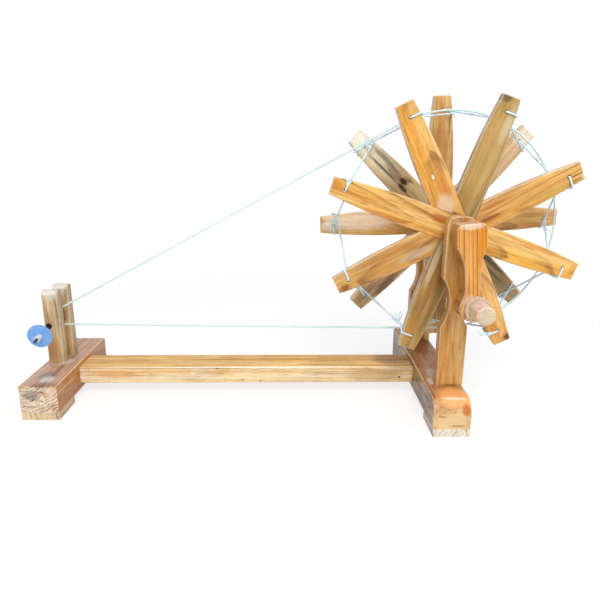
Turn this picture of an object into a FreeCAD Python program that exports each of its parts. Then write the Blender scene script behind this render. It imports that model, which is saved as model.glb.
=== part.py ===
import FreeCAD, Part
import math
import os
import Sketcher
from FreeCAD import Placement, Rotation, Vector

# Table-top spinning wheel, as an open frame: two cross feet on glued pads, a beam
# between them, a pair of waisted posts that carry the spoke wheel and its crank, and a
# pair of small masts that carry the tilted spindle. A cord laced from spoke to spoke
# makes the rim, and an endless band runs over it and round the spindle's whorl.
# X runs along the beam towards the wheel, Y from the crank side to the back, Z up.

doc = FreeCAD.newDocument("SpinningWheel")
sheet = doc.addObject("Spreadsheet::Sheet", "Sizes")

drivingSizes = {
    # where the origin stands, from the left foot's inner face and the datum plane
    "originAlong": 195.29, "originAhead": 26.75,
    # beam and its tenons
    "beamClear": 300, "beamDepth": 30.8, "beamThick": 15.3, "beamLift": 10.9,
    "beamAhead": 29.5, "beamTenon": 12, "beamShoulder": 3.5,
    # cross feet and the pads under their ends
    "footTop": 30.1, "padThick": 6.5, "padLong": 32,
    "leftWide": 30.6, "leftAhead": 78.4, "leftBehind": 39.3,
    "rightWide": 29.1, "rightAhead": 108.4, "rightBehind": 68.4,
    "toeRound": 13, "heelRound": 5, "arris": 0.7,
    # posts of the wheel
    "postWide": 21.4, "postThick": 10, "postInset": 27.8, "postTop": 167,
    "postRound": 7, "scallopLow": 80.5, "scallopHigh": 119, "scallopDeep": 6,
    "tenonLong": 14, "tenonShoulder": 4,
    "axleHigh": 154.8, "axleShift": 1.1, "axleRadius": 3.2, "axleTail": 5,
    # masts of the spindle
    "mastWide": 13.4, "mastThick": 10, "mastInset": 48.7, "mastGap": 12.2,
    "mastSide": 12.7, "mastTop": 97, "mastDome": 3.8, "mastShoulder": 2.5,
    "spindleHigh": 67.7, "spindleShift": 3.1, "spindleTilt": 9,
    # spokes: double-ended planks in two sets, lapped flush at the hub
    "plankThick": 7, "plankWide": 21.5, "tipWide": 13.8, "tipBeyond": 11.2,
    "straightReach": 30, "edgeRound": 520, "frontAngle": 19, "rearAngle": -2,
    "hubLong": 46.6, "hubRadius": 17,
    "frontSpacer": 6.7, "endPlay": 0.4, "spacerRadius": 7,
    # rim lacing and drive band
    "laceRing": 92.5, "laceHole": 1.6, "laceThick": 1.4, "laceLift": 0.12, "laceBend": 1.4,
    "laceDrop": 3.3, "laceSlip": 0.2, "knotRadius": 1.9, "knotPlace": 0.22, "bandThick": 1.5, "bandClear": 0.35,
    "splice": 1.1,
    # crank
    "crankGap": 4.9, "crankThick": 14.5, "crankFront": 3, "crankReach": 54, "crankWide": 22,
    "crankNeck": 12, "crankRise": 9, "crankDrop": 8.5, "neckHigh": 26, "neckLow": 37,
    "crankEnd": 10.7, "crankLean": 5.4, "crankRound": 4.5, "crankShift": 1.3,
    # knob and its pin
    "pinRadius": 2.2, "knobShift": 3.5, "knobLong": 21.6, "knobFlange": 9.4, "flangeThick": 3.8,
    "knobGroove": 6, "grooveWide": 1.3, "knobBarrel": 7, "knobNose": 5.8,
    "knobBore": 13, "pinHead": 4, "pinHeadThick": 1.2,
    # spindle
    "rodRadius": 1.25, "rodTail": 20.5, "rodPoint": 0.5, "bushRadius": 2.6, "bushLip": 0.8,
    "whorlRadius": 7.2, "whorlGroove": 4.9, "whorlLong": 8.6, "whorlFloor": 3.2,
    "discRadius": 10.3, "discThick": 1.8, "discReach": 33.8,
    "sleeveRadius": 2.5, "sleeveLong": 5.5, "noseLong": 6, "noseTaper": 3,
    # clearances: glued seats and running fits
    "seatGap": 0.05, "runGap": 0.05, "knobPlay": 0.3,
}
for row, (name, length) in enumerate(drivingSizes.items(), start=1):
    sheet.set(f"A{row}", name)
    sheet.set(f"B{row}", str(length))
    sheet.setAlias(f"B{row}", name)
doc.recompute()

planksPerSet = 4
lapStep = 180 / planksPerSet


class Size:
    # a length worked out from the sheet: its number and the expression that gives it
    def __init__(self, number, text):
        self.number, self.text = number, text

    def __add__(self, other):
        other = asSize(other)
        return Size(self.number + other.number, f"({self.text} + {other.text})")

    def __sub__(self, other):
        other = asSize(other)
        return Size(self.number - other.number, f"({self.text} - {other.text})")

    def __mul__(self, other):
        other = asSize(other)
        return Size(self.number * other.number, f"({self.text} * {other.text})")

    def __truediv__(self, other):
        other = asSize(other)
        return Size(self.number / other.number, f"({self.text} / {other.text})")

    def __neg__(self):
        return self * -1

    def __radd__(self, other):
        return asSize(other) + self

    def __rsub__(self, other):
        return asSize(other) - self

    def __rmul__(self, other):
        return asSize(other) * self


def asSize(value):
    return value if isinstance(value, Size) else Size(float(value), f"({float(value)!r})")


def size(name):
    return Size(float(getattr(sheet, name)), f"Sizes.{name}")


def number(name):
    return float(getattr(sheet, name))


def bind(thing, **properties):
    # names use two underscores where the property's path has a dot
    for name, value in properties.items():
        thing.setExpression(name.replace("__", "."), asSize(value).text)


def place(thing, x=0, y=0, z=0, rotation=Rotation()):
    thing.Placement = Placement(Vector(), rotation)
    bind(thing, Placement__Base__x=x - originX, Placement__Base__y=y - originY,
         Placement__Base__z=z)


def turnedBy(angle):
    # clockwise, seen from the crank side
    return Rotation(Vector(0, 1, 0), asSize(angle).number)


def cosine(angle):
    return Size(math.cos(math.radians(angle.number)), f"cos({angle.text} * 1 deg)")


def sine(angle):
    return Size(math.sin(math.radians(angle.number)), f"sin({angle.text} * 1 deg)")


# Places that several pieces share, from the left foot's inner face and the datum plane

originX = size("originAlong")
originY = -size("originAhead")
rightOuter = size("beamClear") + size("rightWide")
postMiddle = rightOuter - size("postWide") / 2
axleX = postMiddle + size("axleShift")
frontPostFace = -size("rightAhead") + size("postInset")
frontPostBack = frontPostFace + size("postThick")
rearPostBack = size("rightBehind") - size("postInset")
rearPostFace = rearPostBack - size("postThick")
frontPlankFace = frontPostBack + size("frontSpacer") + size("endPlay")
hubFace = frontPlankFace + size("plankThick")
rearPlankFace = hubFace + size("hubLong")
rearPlankBack = rearPlankFace + size("plankThick")
rearSpacerLong = rearPostFace - rearPlankBack - size("endPlay")
crankBack = frontPostFace - size("crankGap")
crankFace = crankBack - size("crankThick")
frontMastFace = -size("leftAhead") + size("mastInset")
rearMastFace = frontMastFace + size("mastThick") + size("mastGap")
mastMiddle = -size("mastSide") - size("mastWide") / 2
spindleX = mastMiddle - size("spindleShift")
spindleY = frontMastFace + size("mastThick") + size("mastGap") / 2
beamTop = size("beamLift") + size("beamThick")


# Helpers for bodies, sketches and features

def newBody(label):
    body = doc.addObject("PartDesign::Body", label)
    body.Label = label
    return body


def newSketch(body, role, offset=None):
    sketch = body.newObject("Sketcher::SketchObject", f"{body.Name}Sketch")
    plane = [f for f in body.Origin.OriginFeatures if f.Role == role][0]
    sketch.AttachmentSupport = [(plane, "")]
    sketch.MapMode = "FlatFace"
    if offset is not None:
        outward = -1 if role == "XZ_Plane" else 1
        bind(sketch, AttachmentOffset__Base__z=offset * outward)
    return sketch


def constrain(sketch, kind, *where, value):
    value = asSize(value)
    index = sketch.addConstraint(Sketcher.Constraint(kind, *where, value.number))
    sketch.setExpression(f"Constraints[{index}]", value.text)


def arcThrough(start, end, radius, side):
    # the arc of this radius from start to end that bulges to the left (1) or right (-1)
    middle = (start + end) / 2
    chord = end - start
    left = Vector(-chord.y, chord.x, 0).normalize()
    depth = math.sqrt(radius ** 2 - (chord.Length / 2) ** 2)
    centre = middle - left * side * depth
    return Part.Arc(start, centre + left * side * radius, end)


def outline(sketch, corners):
    # a closed outline: each corner is (x, y), or (x, y, radius, side) where an arc from
    # the corner before it leads there
    spots = [Vector(asSize(c[0]).number, asSize(c[1]).number, 0) for c in corners]
    ends = []
    for i, corner in enumerate(corners):
        start, end = spots[i - 1], spots[i]
        if len(corner) == 2:
            index = sketch.addGeometry(Part.LineSegment(start, end))
        else:
            radius, side = asSize(corner[2]).number, corner[3]
            sunwise = arcThrough(end, start, radius, -1) if side > 0 else \
                arcThrough(start, end, radius, -1)
            index = sketch.addGeometry(sunwise)
        turned = (sketch.Geometry[index].StartPoint - start).Length > 1e-6
        ends.append((index, 2 if turned else 1, 1 if turned else 2))
    for i, corner in enumerate(corners):
        before, here = ends[i], ends[(i + 1) % len(ends)]
        sketch.addConstraint(Sketcher.Constraint("Coincident", before[0], before[2],
                                                 here[0], here[1]))
        constrain(sketch, "DistanceX", before[0], before[2], value=corner[0])
        constrain(sketch, "DistanceY", before[0], before[2], value=corner[1])
        if len(corner) > 2:
            constrain(sketch, "Radius", before[0], value=corner[2])


def circles(sketch, spots, radius):
    for x, y in spots:
        centre = Vector(asSize(x).number, asSize(y).number, 0)
        index = sketch.addGeometry(Part.Circle(centre, Vector(0, 0, 1), asSize(radius).number))
        constrain(sketch, "DistanceX", index, 3, value=x)
        constrain(sketch, "DistanceY", index, 3, value=y)
        constrain(sketch, "Radius", index, value=radius)


def rectangle(x0, y0, x1, y1):
    return [(x0, y0), (x1, y0), (x1, y1), (x0, y1)]


def sixSided(x, y, radius):
    turns = [math.radians(60 * i) for i in range(6)]
    return [(x + radius * math.cos(t), y + radius * math.sin(t)) for t in turns]


def pad(body, sketch, length):
    # grows towards +X, +Y or +Z, whichever crosses the sketch
    feature = body.newObject("PartDesign::Pad", f"{body.Name}Pad")
    feature.Profile = sketch
    feature.Reversed = sketch.AttachmentSupport[0][0].Role == "XZ_Plane"
    bind(feature, Length=length)
    doc.recompute()
    return feature


def pocket(body, sketch, depth):
    # cuts towards +X, +Y or +Z, and fails the build if nothing was cut
    doc.recompute()
    before = body.Shape.Volume
    feature = body.newObject("PartDesign::Pocket", f"{body.Name}Pocket")
    feature.Profile = sketch
    feature.Reversed = sketch.AttachmentSupport[0][0].Role != "XZ_Plane"
    bind(feature, Length=depth)
    doc.recompute()
    if body.Shape.Volume > before - 1e-6:
        raise RuntimeError(f"{body.Label}: a pocket cut nothing")
    return feature


def chamfer(body, chosen, width):
    # breaks the edges for which chosen(edge) is true
    base = body.Tip
    names = [f"Edge{i}" for i, e in enumerate(base.Shape.Edges, start=1) if chosen(e)]
    feature = body.newObject("PartDesign::Chamfer", f"{body.Name}Chamfer")
    feature.Base = (base, names)
    bind(feature, Size=width)
    doc.recompute()
    if "Invalid" in feature.State:
        raise RuntimeError(f"{body.Label}: its arris could not be broken")
    return feature


def turned(label, profile, x, y, z, tilt=0):
    # a piece turned on a lathe: the profile is (distance along the axis, radius), and
    # the axis runs towards the crank side, dipping by tilt
    body = newBody(label)
    sketch = newSketch(body, "XY_Plane")
    outline(sketch, profile)
    feature = body.newObject("PartDesign::Revolution", f"{label}Turning")
    feature.Profile = sketch
    feature.ReferenceAxis = (sketch, ["H_Axis"])
    feature.Angle = 360
    dip = Rotation(Vector(1, 0, 0), asSize(tilt).number)
    place(body, x, y, z, dip.multiply(Rotation(Vector(0, 0, 1), -90)))
    doc.recompute()
    return body


def collar(length, radius, bore):
    return rectangle(0, bore, length, radius)


def sagittaRadius(chord, depth):
    return (chord * chord / 4 + depth * depth) / (depth * 2)


def alongTop(edge, top):
    return all(abs(v.Z - top) < 1e-6 for v in edge.Vertexes)


def flatAcrossY(edge):
    ys = [v.Y for v in edge.Vertexes]
    return max(ys) - min(ys) < 1e-6


def upright(edge):
    start, end = edge.Vertexes[0].Point, edge.Vertexes[-1].Point
    return abs(start.x - end.x) + abs(start.y - end.y) < 1e-6


# Cross feet and the pads glued under their ends

gap = size("seatGap")
postTenonHalf = size("postWide") / 2 - size("tenonShoulder")
mastTenonHalf = size("mastWide") / 2 - size("mastShoulder")


def makeFoot(label, x, wide, ahead, behind, toe, mortises, beamMortise):
    body = newBody(label)
    top, low = size("footTop"), size("padThick")
    corners = [(-ahead, low), (behind, low), (behind, top)]
    if toe is None:
        corners.append((-ahead, top))
    else:
        corners += [(-ahead + toe, top), (-ahead, top - toe, toe, -1)]
    sketch = newSketch(body, "YZ_Plane")
    outline(sketch, corners)
    pad(body, sketch, wide)
    chamfer(body, lambda e: alongTop(e, top.number), size("arris"))
    sketch = newSketch(body, "YZ_Plane", beamMortise)
    low, shoulder = size("beamLift"), size("beamShoulder")
    front = -size("beamAhead")
    outline(sketch, rectangle(front - gap, low + shoulder - gap,
                              front + size("beamDepth") + gap, beamTop - shoulder + gap))
    pocket(body, sketch, size("beamTenon") + gap)
    for middle, half, face, thick in mortises:
        sketch = newSketch(body, "XY_Plane", top - size("tenonLong") - gap)
        outline(sketch, rectangle(middle - x - half - gap, face - gap,
                                  middle - x + half + gap, face + thick + gap))
        pocket(body, sketch, size("tenonLong") + gap)
    place(body, x)
    return body


def makePad(label, x, wide, front, heel=None):
    body = newBody(label)
    thick, back = size("padThick"), front + size("padLong")
    if heel is None:
        corners = rectangle(front, 0, back, thick)
    else:
        corners = [(front, 0), (back - heel, 0), (back, heel, heel, -1), (back, thick),
                   (front, thick)]
    sketch = newSketch(body, "YZ_Plane")
    outline(sketch, corners)
    pad(body, sketch, wide)
    place(body, x)
    return body


makeFoot("left_foot", -size("leftWide"), size("leftWide"), size("leftAhead"),
         size("leftBehind"), None,
         [(mastMiddle, mastTenonHalf, frontMastFace, size("mastThick")),
          (mastMiddle, mastTenonHalf, rearMastFace, size("mastThick"))],
         size("leftWide") - size("beamTenon") - gap)
makeFoot("right_foot", size("beamClear"), size("rightWide"), size("rightAhead"),
         size("rightBehind"), size("toeRound"),
         [(postMiddle, postTenonHalf, frontPostFace, size("postThick")),
          (postMiddle, postTenonHalf, rearPostFace, size("postThick"))], Size(0, "0"))
makePad("left_front_pad", -size("leftWide"), size("leftWide"), -size("leftAhead"))
makePad("left_rear_pad", -size("leftWide"), size("leftWide"),
        size("leftBehind") - size("padLong"))
makePad("right_front_pad", size("beamClear"), size("rightWide"), -size("rightAhead"))
makePad("right_rear_pad", size("beamClear"), size("rightWide"),
        size("rightBehind") - size("padLong"), size("heelRound"))


# Beam, tenoned into both feet

def makeBeam():
    body = newBody("beam")
    long, tenon, shoulder = size("beamClear"), size("beamTenon"), size("beamShoulder")
    low, high = size("beamLift"), beamTop
    sketch = newSketch(body, "XZ_Plane")
    outline(sketch, [(0, low), (long, low), (long, low + shoulder),
                     (long + tenon, low + shoulder), (long + tenon, high - shoulder),
                     (long, high - shoulder), (long, high), (0, high),
                     (0, high - shoulder), (-tenon, high - shoulder),
                     (-tenon, low + shoulder), (0, low + shoulder)])
    pad(body, sketch, size("beamDepth"))
    chamfer(body, lambda e: abs(e.Length - long.number) < 1e-6, size("arris"))
    place(body, 0, -size("beamAhead"))


makeBeam()


# Posts of the wheel: a plank with a scallop in each side, a rounded head and a tenon

def makePost(label, face):
    body = newBody(label)
    half, tenon = size("postWide") / 2, postTenonHalf
    base, top, corner = size("footTop"), size("postTop"), size("postRound")
    low, high = size("scallopLow"), size("scallopHigh")
    scallop = sagittaRadius(high - low, size("scallopDeep"))
    sketch = newSketch(body, "XZ_Plane")
    outline(sketch, [(-tenon, base - size("tenonLong")), (tenon, base - size("tenonLong")),
                     (tenon, base), (half, base), (half, low), (half, high, scallop, 1),
                     (half, top - corner), (half - corner, top, corner, -1),
                     (corner - half, top), (-half, top - corner, corner, -1),
                     (-half, high), (-half, low, scallop, 1), (-half, base),
                     (-tenon, base)])
    pad(body, sketch, size("postThick"))
    aboveFoot = base.number + 1
    chamfer(body, lambda e: flatAcrossY(e) and e.CenterOfMass.z > aboveFoot, size("arris"))
    sketch = newSketch(body, "XZ_Plane")
    circles(sketch, [(size("axleShift"), size("axleHigh"))],
            size("axleRadius") + size("runGap"))
    pocket(body, sketch, size("postThick"))
    place(body, postMiddle, face)


makePost("front_wheel_post", frontPostFace)
makePost("rear_wheel_post", rearPostFace)


# Masts of the spindle, each with a domed top, a tenon and a sleeve that the rod turns in

tilt = size("spindleTilt")


def alongSpindle(reach):
    # the point of the spindle's axis that lies this far ahead of the whorl's middle
    return (spindleX, spindleY - reach * cosine(tilt), size("spindleHigh") - reach * sine(tilt))


def makeMast(label, face):
    body = newBody(label)
    thick, half = size("mastThick"), size("mastWide") / 2
    base, top, dome = size("footTop"), size("mastTop"), size("mastDome")
    sketch = newSketch(body, "YZ_Plane", -half)
    outline(sketch, [(0, base), (thick, base), (thick, top - dome),
                     (0, top - dome, sagittaRadius(thick, dome), -1)])
    pad(body, sketch, half * 2)
    chamfer(body, lambda e: upright(e) and e.Length > thick.number, size("arris"))
    sketch = newSketch(body, "XY_Plane", base - size("tenonLong"))
    outline(sketch, rectangle(-mastTenonHalf, 0, mastTenonHalf, thick))
    pad(body, sketch, size("tenonLong"))
    drill = body.newObject("PartDesign::SubtractiveCylinder", f"{label}Drill")
    reach = (spindleY - face - thick / 2) / cosine(tilt)
    run = thick * 2
    _, y, z = alongSpindle(reach - run / 2)
    drill.Placement = Placement(Vector(), Rotation(Vector(1, 0, 0), 90 + tilt.number))
    bind(drill, Radius=size("bushRadius") + gap, Height=run, Placement__Base__z=z,
         Placement__Base__x=spindleX - mastMiddle, Placement__Base__y=y - face)
    place(body, mastMiddle, face)
    doc.recompute()
    return reach


def makeBush(label, reach):
    long = size("mastThick") + size("bushLip") * 2
    profile = collar(long, size("bushRadius"), size("rodRadius") + size("runGap"))
    turned(label, profile, *alongSpindle(reach - long / 2), tilt)


makeBush("front_spindle_bush", makeMast("front_spindle_post", frontMastFace))
makeBush("rear_spindle_bush", makeMast("rear_spindle_post", rearMastFace))


# Spokes: four double-ended planks to a set. All four lie in one plane, so each keeps
# its own quarter of the thickness where they cross: plank 0 the front quarter, plank 3
# the rear one, and each reaches on to the next plank that is really there.

def makePlank(label, rank, angle, face):
    body = newBody(label)
    thick, half, tip = size("plankThick"), size("plankWide") / 2, size("tipWide") / 2
    straight, edge = size("straightReach"), size("edgeRound")
    reach = size("laceRing") + size("tipBeyond")
    sketch = newSketch(body, "XZ_Plane")
    outline(sketch, [(tip, -reach), (half, -straight, edge, -1), (half, straight),
                     (tip, reach, edge, -1), (-tip, reach), (-half, straight, edge, -1),
                     (-half, -straight), (-tip, -reach, edge, -1)])
    pad(body, sketch, thick)
    chamfer(body, flatAcrossY, size("arris"))
    sketch = newSketch(body, "XZ_Plane")
    circles(sketch, [(0, 0)], size("axleRadius") + gap)
    pocket(body, sketch, thick)
    sketch = newSketch(body, "XZ_Plane")
    for end in (-1, 1):
        outline(sketch, sixSided(0, size("laceRing") * end, size("laceHole")))
    pocket(body, sketch, thick)
    for other in range(planksPerSet):
        if other == rank:
            continue
        lap = body.newObject("PartDesign::SubtractiveBox", f"{label}Lap")
        turn = math.radians(lapStep * (other - rank))
        start = thick * other / planksPerSet if other > rank else Size(0, "0")
        deep = thick - start if other > rank else thick * rank / planksPerSet
        lap.Placement = Placement(Vector(), Rotation(Vector(0, 1, 0), math.degrees(turn)))
        bind(lap, Length=half * 2, Width=deep, Height=straight * 2,
             Placement__Base__x=-half * math.cos(turn) - straight * math.sin(turn),
             Placement__Base__y=start,
             Placement__Base__z=half * math.sin(turn) - straight * math.cos(turn))
        doc.recompute()
    place(body, axleX, face, size("axleHigh"), turnedBy(angle))


for rank in range(planksPerSet):
    quarter = 90 + lapStep * rank
    makePlank(f"front_spoke_plank_{rank + 1}", rank, size("frontAngle") + quarter,
              frontPlankFace)
    makePlank(f"rear_spoke_plank_{rank + 1}", rank, size("rearAngle") + quarter,
              rearPlankFace)


# Hub block, axle and the spacers on it

seated = size("axleRadius") + gap


def onAxle(label, profile, rearEnd):
    turned(label, profile, axleX, rearEnd, size("axleHigh"))


onAxle("hub_block", collar(size("hubLong"), size("hubRadius"), seated), rearPlankFace)
axleRear = rearPostBack + size("axleTail")
axleFront = crankFace + size("crankFront")
bevel, thin = size("arris"), size("axleRadius") - size("arris")
axleLong = axleRear - axleFront - gap
onAxle("axle", [(0, 0), (axleLong, 0), (axleLong, thin), (axleLong - bevel, thin + bevel),
                (bevel, thin + bevel), (0, thin)], axleRear)
onAxle("front_spacer", collar(size("frontSpacer"), size("spacerRadius"), seated),
       frontPlankFace)
onAxle("rear_spacer", collar(rearSpacerLong, size("spacerRadius"), seated),
       rearPlankBack + rearSpacerLong)
onAxle("crank_spacer", collar(size("crankGap") - size("endPlay"), size("spacerRadius"), seated),
       frontPostFace - size("endPlay"))


# Crank: broad at the head, necked, with a round end that carries the knob. It isn't
# quite central on the axle, nor is the knob on it. The axle stops short of its face.

def makeCrank():
    body = newBody("crank_arm")
    half, neck = size("crankWide") / 2, size("crankNeck") / 2
    rise, drop, corner = size("crankRise"), size("crankDrop"), size("crankRound")
    high, low = size("neckHigh"), size("neckLow")
    reach, end = size("crankReach"), size("crankEnd")
    # hollows that leave the neck straight: the upper one meets the head's side, and the
    # lower one runs smoothly into the round end
    across, down = half - neck, high - drop
    upper = (across * across + down * down) / (across * 2)
    fall = reach - low
    lower = (neck * neck + fall * fall - end * end) / ((end - neck) * 2)
    sideX = end * (neck + lower) / (end + lower)
    sideZ = end * fall / (end + lower) - reach
    sketch = newSketch(body, "XZ_Plane")
    corners = [(sideX, sideZ, end, -1), (neck, -low, lower, 1), (neck, -high),
               (half, -drop, upper, 1), (half, rise - corner),
               (half - corner, rise, corner, -1), (corner - half, rise),
               (-half, rise - corner, corner, -1), (-half, -drop), (-neck, -high, upper, 1),
               (-neck, -low), (-sideX, sideZ, lower, 1), (0, -reach - end, end, -1)]
    outline(sketch, [(x + size("crankShift"), *rest) for x, *rest in corners])
    pad(body, sketch, size("crankThick"))
    chamfer(body, flatAcrossY, size("arris"))
    sketch = newSketch(body, "XZ_Plane", size("crankFront"))
    circles(sketch, [(0, 0)], seated)
    pocket(body, sketch, size("crankThick") - size("crankFront"))
    sketch = newSketch(body, "XZ_Plane")
    circles(sketch, [(size("knobShift"), -reach)], size("pinRadius") + size("runGap"))
    pocket(body, sketch, size("crankThick"))
    place(body, axleX, crankFace, size("axleHigh"), turnedBy(-size("crankLean")))


makeCrank()


# Knob, and the headed pin that holds it and turns in the crank

lean, reach, shift = size("crankLean"), size("crankReach"), size("knobShift")
knobX = axleX + reach * sine(lean) + shift * cosine(lean)
knobZ = size("axleHigh") - reach * cosine(lean) + shift * sine(lean)
knobBase = crankFace - size("knobPlay")
knobLong, flange, groove = size("knobLong"), size("knobFlange"), size("knobGroove")
barrel, nose, lip = size("knobBarrel"), size("knobNose"), size("flangeThick")
boreDeep, bore = size("knobBore"), size("pinRadius") + gap
neckEnd, noseRound = lip + size("grooveWide"), barrel - nose
turned("crank_knob", [(0, bore), (boreDeep, bore), (boreDeep, 0), (knobLong, 0),
                      (knobLong, nose), (knobLong - noseRound, barrel), (neckEnd, barrel),
                      (neckEnd, groove), (lip, groove), (lip, flange), (0, flange)],
       knobX, knobBase, knobZ)
shank = size("crankThick") + size("knobPlay") * 2 + boreDeep - gap
headThick = size("pinHeadThick")
turned("knob_pin", [(0, 0), (headThick + shank, 0), (headThick + shank, size("pinRadius")),
                    (headThick, size("pinRadius")), (headThick, size("pinHead")),
                    (0, size("pinHead"))],
       knobX, crankBack + size("knobPlay") + headThick, knobZ)


# Spindle: a rod pointed at the nose, with the whorl between the masts, a disc and its
# sleeve ahead of them

rod = size("rodRadius")
onRod = rod + gap


def onSpindle(label, profile, reach):
    turned(label, profile, *alongSpindle(reach), tilt)


discFace = size("discReach") + size("discThick")
noseEnd = discFace + size("sleeveLong") + size("noseLong")
rodLong = noseEnd + size("rodTail")
onSpindle("spindle_rod", [(0, 0), (rodLong, 0), (rodLong, size("rodPoint")),
                          (rodLong - size("noseTaper"), rod), (0, rod)], -size("rodTail"))
whorlLong = size("whorlLong")
rim = (whorlLong - size("whorlFloor")) / 2
whorlRadius, whorlGroove = size("whorlRadius"), size("whorlGroove")
onSpindle("whorl", [(0, onRod), (whorlLong, onRod), (whorlLong, whorlRadius),
                    (whorlLong - rim, whorlRadius), (whorlLong - rim, whorlGroove),
                    (rim, whorlGroove), (rim, whorlRadius), (0, whorlRadius)],
          -whorlLong / 2)
onSpindle("yarn_disc", collar(size("discThick"), size("discRadius"), onRod),
          size("discReach"))
onSpindle("disc_sleeve", collar(size("sleeveLong"), size("sleeveRadius"), onRod), discFace)


# Cords. Each is one six-sided tube whose mitres follow runs and tangent arcs.

cordSides = 6


def rounded(points, radius):
    # the route with each inner corner turned into an arc, given by three of its points
    route = [points[0]]
    for before, corner, after in zip(points, points[1:], points[2:]):
        back, on = (before - corner).normalize(), (after - corner).normalize()
        half = back.getAngle(on) / 2
        inward = (back + on).normalize()
        start = corner + back * (radius / math.tan(half))
        end = corner + on * (radius / math.tan(half))
        middle = corner + inward * (radius / math.sin(half) - radius)
        route += [start, middle, end]
    return route + [points[-1]]


def cordTube(route, thick):
    path = Part.makePolygon(route)
    section = polygon(route[0], (route[1] - route[0]).normalize(), thick / 2)
    tube = path.makePipeShell([section], True, False, 1)
    area = cordSides / 2 * math.sin(2 * math.pi / cordSides) * (thick / 2) ** 2
    if abs(tube.Volume / (area * path.Length) - 1) > 0.01:
        raise RuntimeError("a cord's volume is not its section times its length")
    return tube, path.Length


def polygon(middle, ahead, radius):
    across = ahead.cross(Vector(0, 1, 0)).normalize()
    rise = ahead.cross(across)
    corners = []
    for side in range(cordSides + 1):
        turn = 2 * math.pi * side / cordSides
        corners.append(middle + (across * math.cos(turn) + rise * math.sin(turn)) * radius)
    return Part.makePolygon(corners)


def knotted(spot, radius, ahead):
    # a six-sided bead, narrow at both ends, that holds the cord's two ends
    steps = [(-1, 0.5), (-0.5, 1), (0.5, 1), (1, 0.5)]
    rings = [polygon(spot + ahead * radius * along, ahead, radius * out) for along, out in steps]
    return Part.makeLoft(rings, True, True)


def addTied(label, route, thick, knot):
    # a cord that comes back to where it starts, its two ends buried in a round knot
    spot = route[0]
    first = spot + (route[1] - spot).normalize() * thick / 2
    last = spot + (route[-2] - spot).normalize() * thick / 2
    route = [first] + route[1:-1] + [last]
    tube, long = cordTube(route, thick)
    cord = doc.addObject("Part::Feature", label)
    cord.Label = label
    cord.Shape = tube.fuse(knotted(spot, knot, (route[-1] - route[0]).normalize()))
    cord.Placement = Placement(Vector(-originX.number, -originY.number, 0), Rotation())
    return route, long


def spokeEdge(distance):
    # half the width of a plank this far from the axle
    start = Vector(number("plankWide") / 2, number("straightReach"), 0)
    end = Vector(number("tipWide") / 2, number("laceRing") + number("tipBeyond"), 0)
    circle = arcThrough(start, end, number("edgeRound"), -1).toShape().Curve
    rise = distance - circle.Center.y
    return circle.Center.x + math.sqrt(circle.Radius ** 2 - rise ** 2)


def clockSpot(angle, out, across, y):
    # out along a spoke at this angle and across it clockwise, seen from the crank side
    turn = math.radians(angle)
    outward = Vector(math.sin(turn), 0, math.cos(turn))
    clockwise = Vector(math.cos(turn), 0, -math.sin(turn))
    hub = Vector(axleX.number, y, number("axleHigh"))
    return hub + outward * out + clockwise * across


def hitch(angle, inner, outer):
    # over the inner face to the clockwise edge, round it to the outer face, and back
    # through the hole
    side = math.copysign(1, inner - outer)
    lift = (number("laceThick") / 2 + number("laceLift")) * side
    ring = number("laceRing")
    low, high = ring - number("laceDrop"), ring - number("laceSlip")
    return [clockSpot(angle, low, spokeEdge(low) + abs(lift), inner + lift),
            clockSpot(angle, high, spokeEdge(high) + abs(lift), outer - lift),
            clockSpot(angle, ring, 0, outer - lift), clockSpot(angle, ring, 0, inner + lift)]


frontFaces = (hubFace.number, frontPlankFace.number)
rearFaces = (rearPlankFace.number, rearPlankBack.number)
spokes = []
for turn in range(2 * planksPerSet):
    spokes.append((number("rearAngle") + lapStep * (turn + planksPerSet + 1), *rearFaces))
    spokes.append((number("frontAngle") + lapStep * (turn + planksPerSet + 1), *frontFaces))
hitches = [hitch(*spoke) for spoke in spokes]
corners = sum(hitches, [])
knotSpot = corners[-1] + (corners[0] - corners[-1]) * number("knotPlace")
laceRoute, laceLong = addTied("rim_lacing", rounded([knotSpot] + corners + [knotSpot],
                                                    number("laceBend")),
                              number("laceThick"), number("knotRadius"))


def leastGap(route, thick, apart):
    # between stretches of the cord that lie further than this along it
    points = Part.makePolygon(route).discretize(Distance=thick / 2)
    skip = int(apart / (thick / 2))
    return min(a.distanceToPoint(b) for i, a in enumerate(points)
               for b in points[i + skip:len(points) - skip]) - thick


print("rim lacing:", round(laceLong), "mm long, least gap to itself",
      round(leastGap(laceRoute, number("laceThick"), 9), 2), "mm")

# The band's ring round the wheel clears the lacing where that crosses the middle plane
bandThick, bandClear = number("bandThick"), number("bandClear")
bandY = (hubFace.number + rearPlankFace.number) / 2
crossings = []
for before, after in zip(corners, corners[1:]):
    if (before.y - bandY) * (after.y - bandY) < 0:
        share = (bandY - before.y) / (after.y - before.y)
        spot = before + (after - before) * share
        crossings.append(math.hypot(spot.x - axleX.number, spot.z - number("axleHigh")))
wheelRing = max(crossings) + (number("laceThick") + bandThick) / 2 + bandClear
whorlRing = number("whorlGroove") + bandThick / 2 + bandClear
wheelMiddle = Vector(axleX.number, bandY, number("axleHigh"))
whorlMiddle = Vector(spindleX.number, spindleY.number, number("spindleHigh"))
across, rise = wheelMiddle.x - whorlMiddle.x, wheelMiddle.z - whorlMiddle.z
climb = math.degrees(math.atan2(rise, across))
spread = math.degrees(math.asin((wheelRing - whorlRing) / math.hypot(across, rise)))


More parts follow.
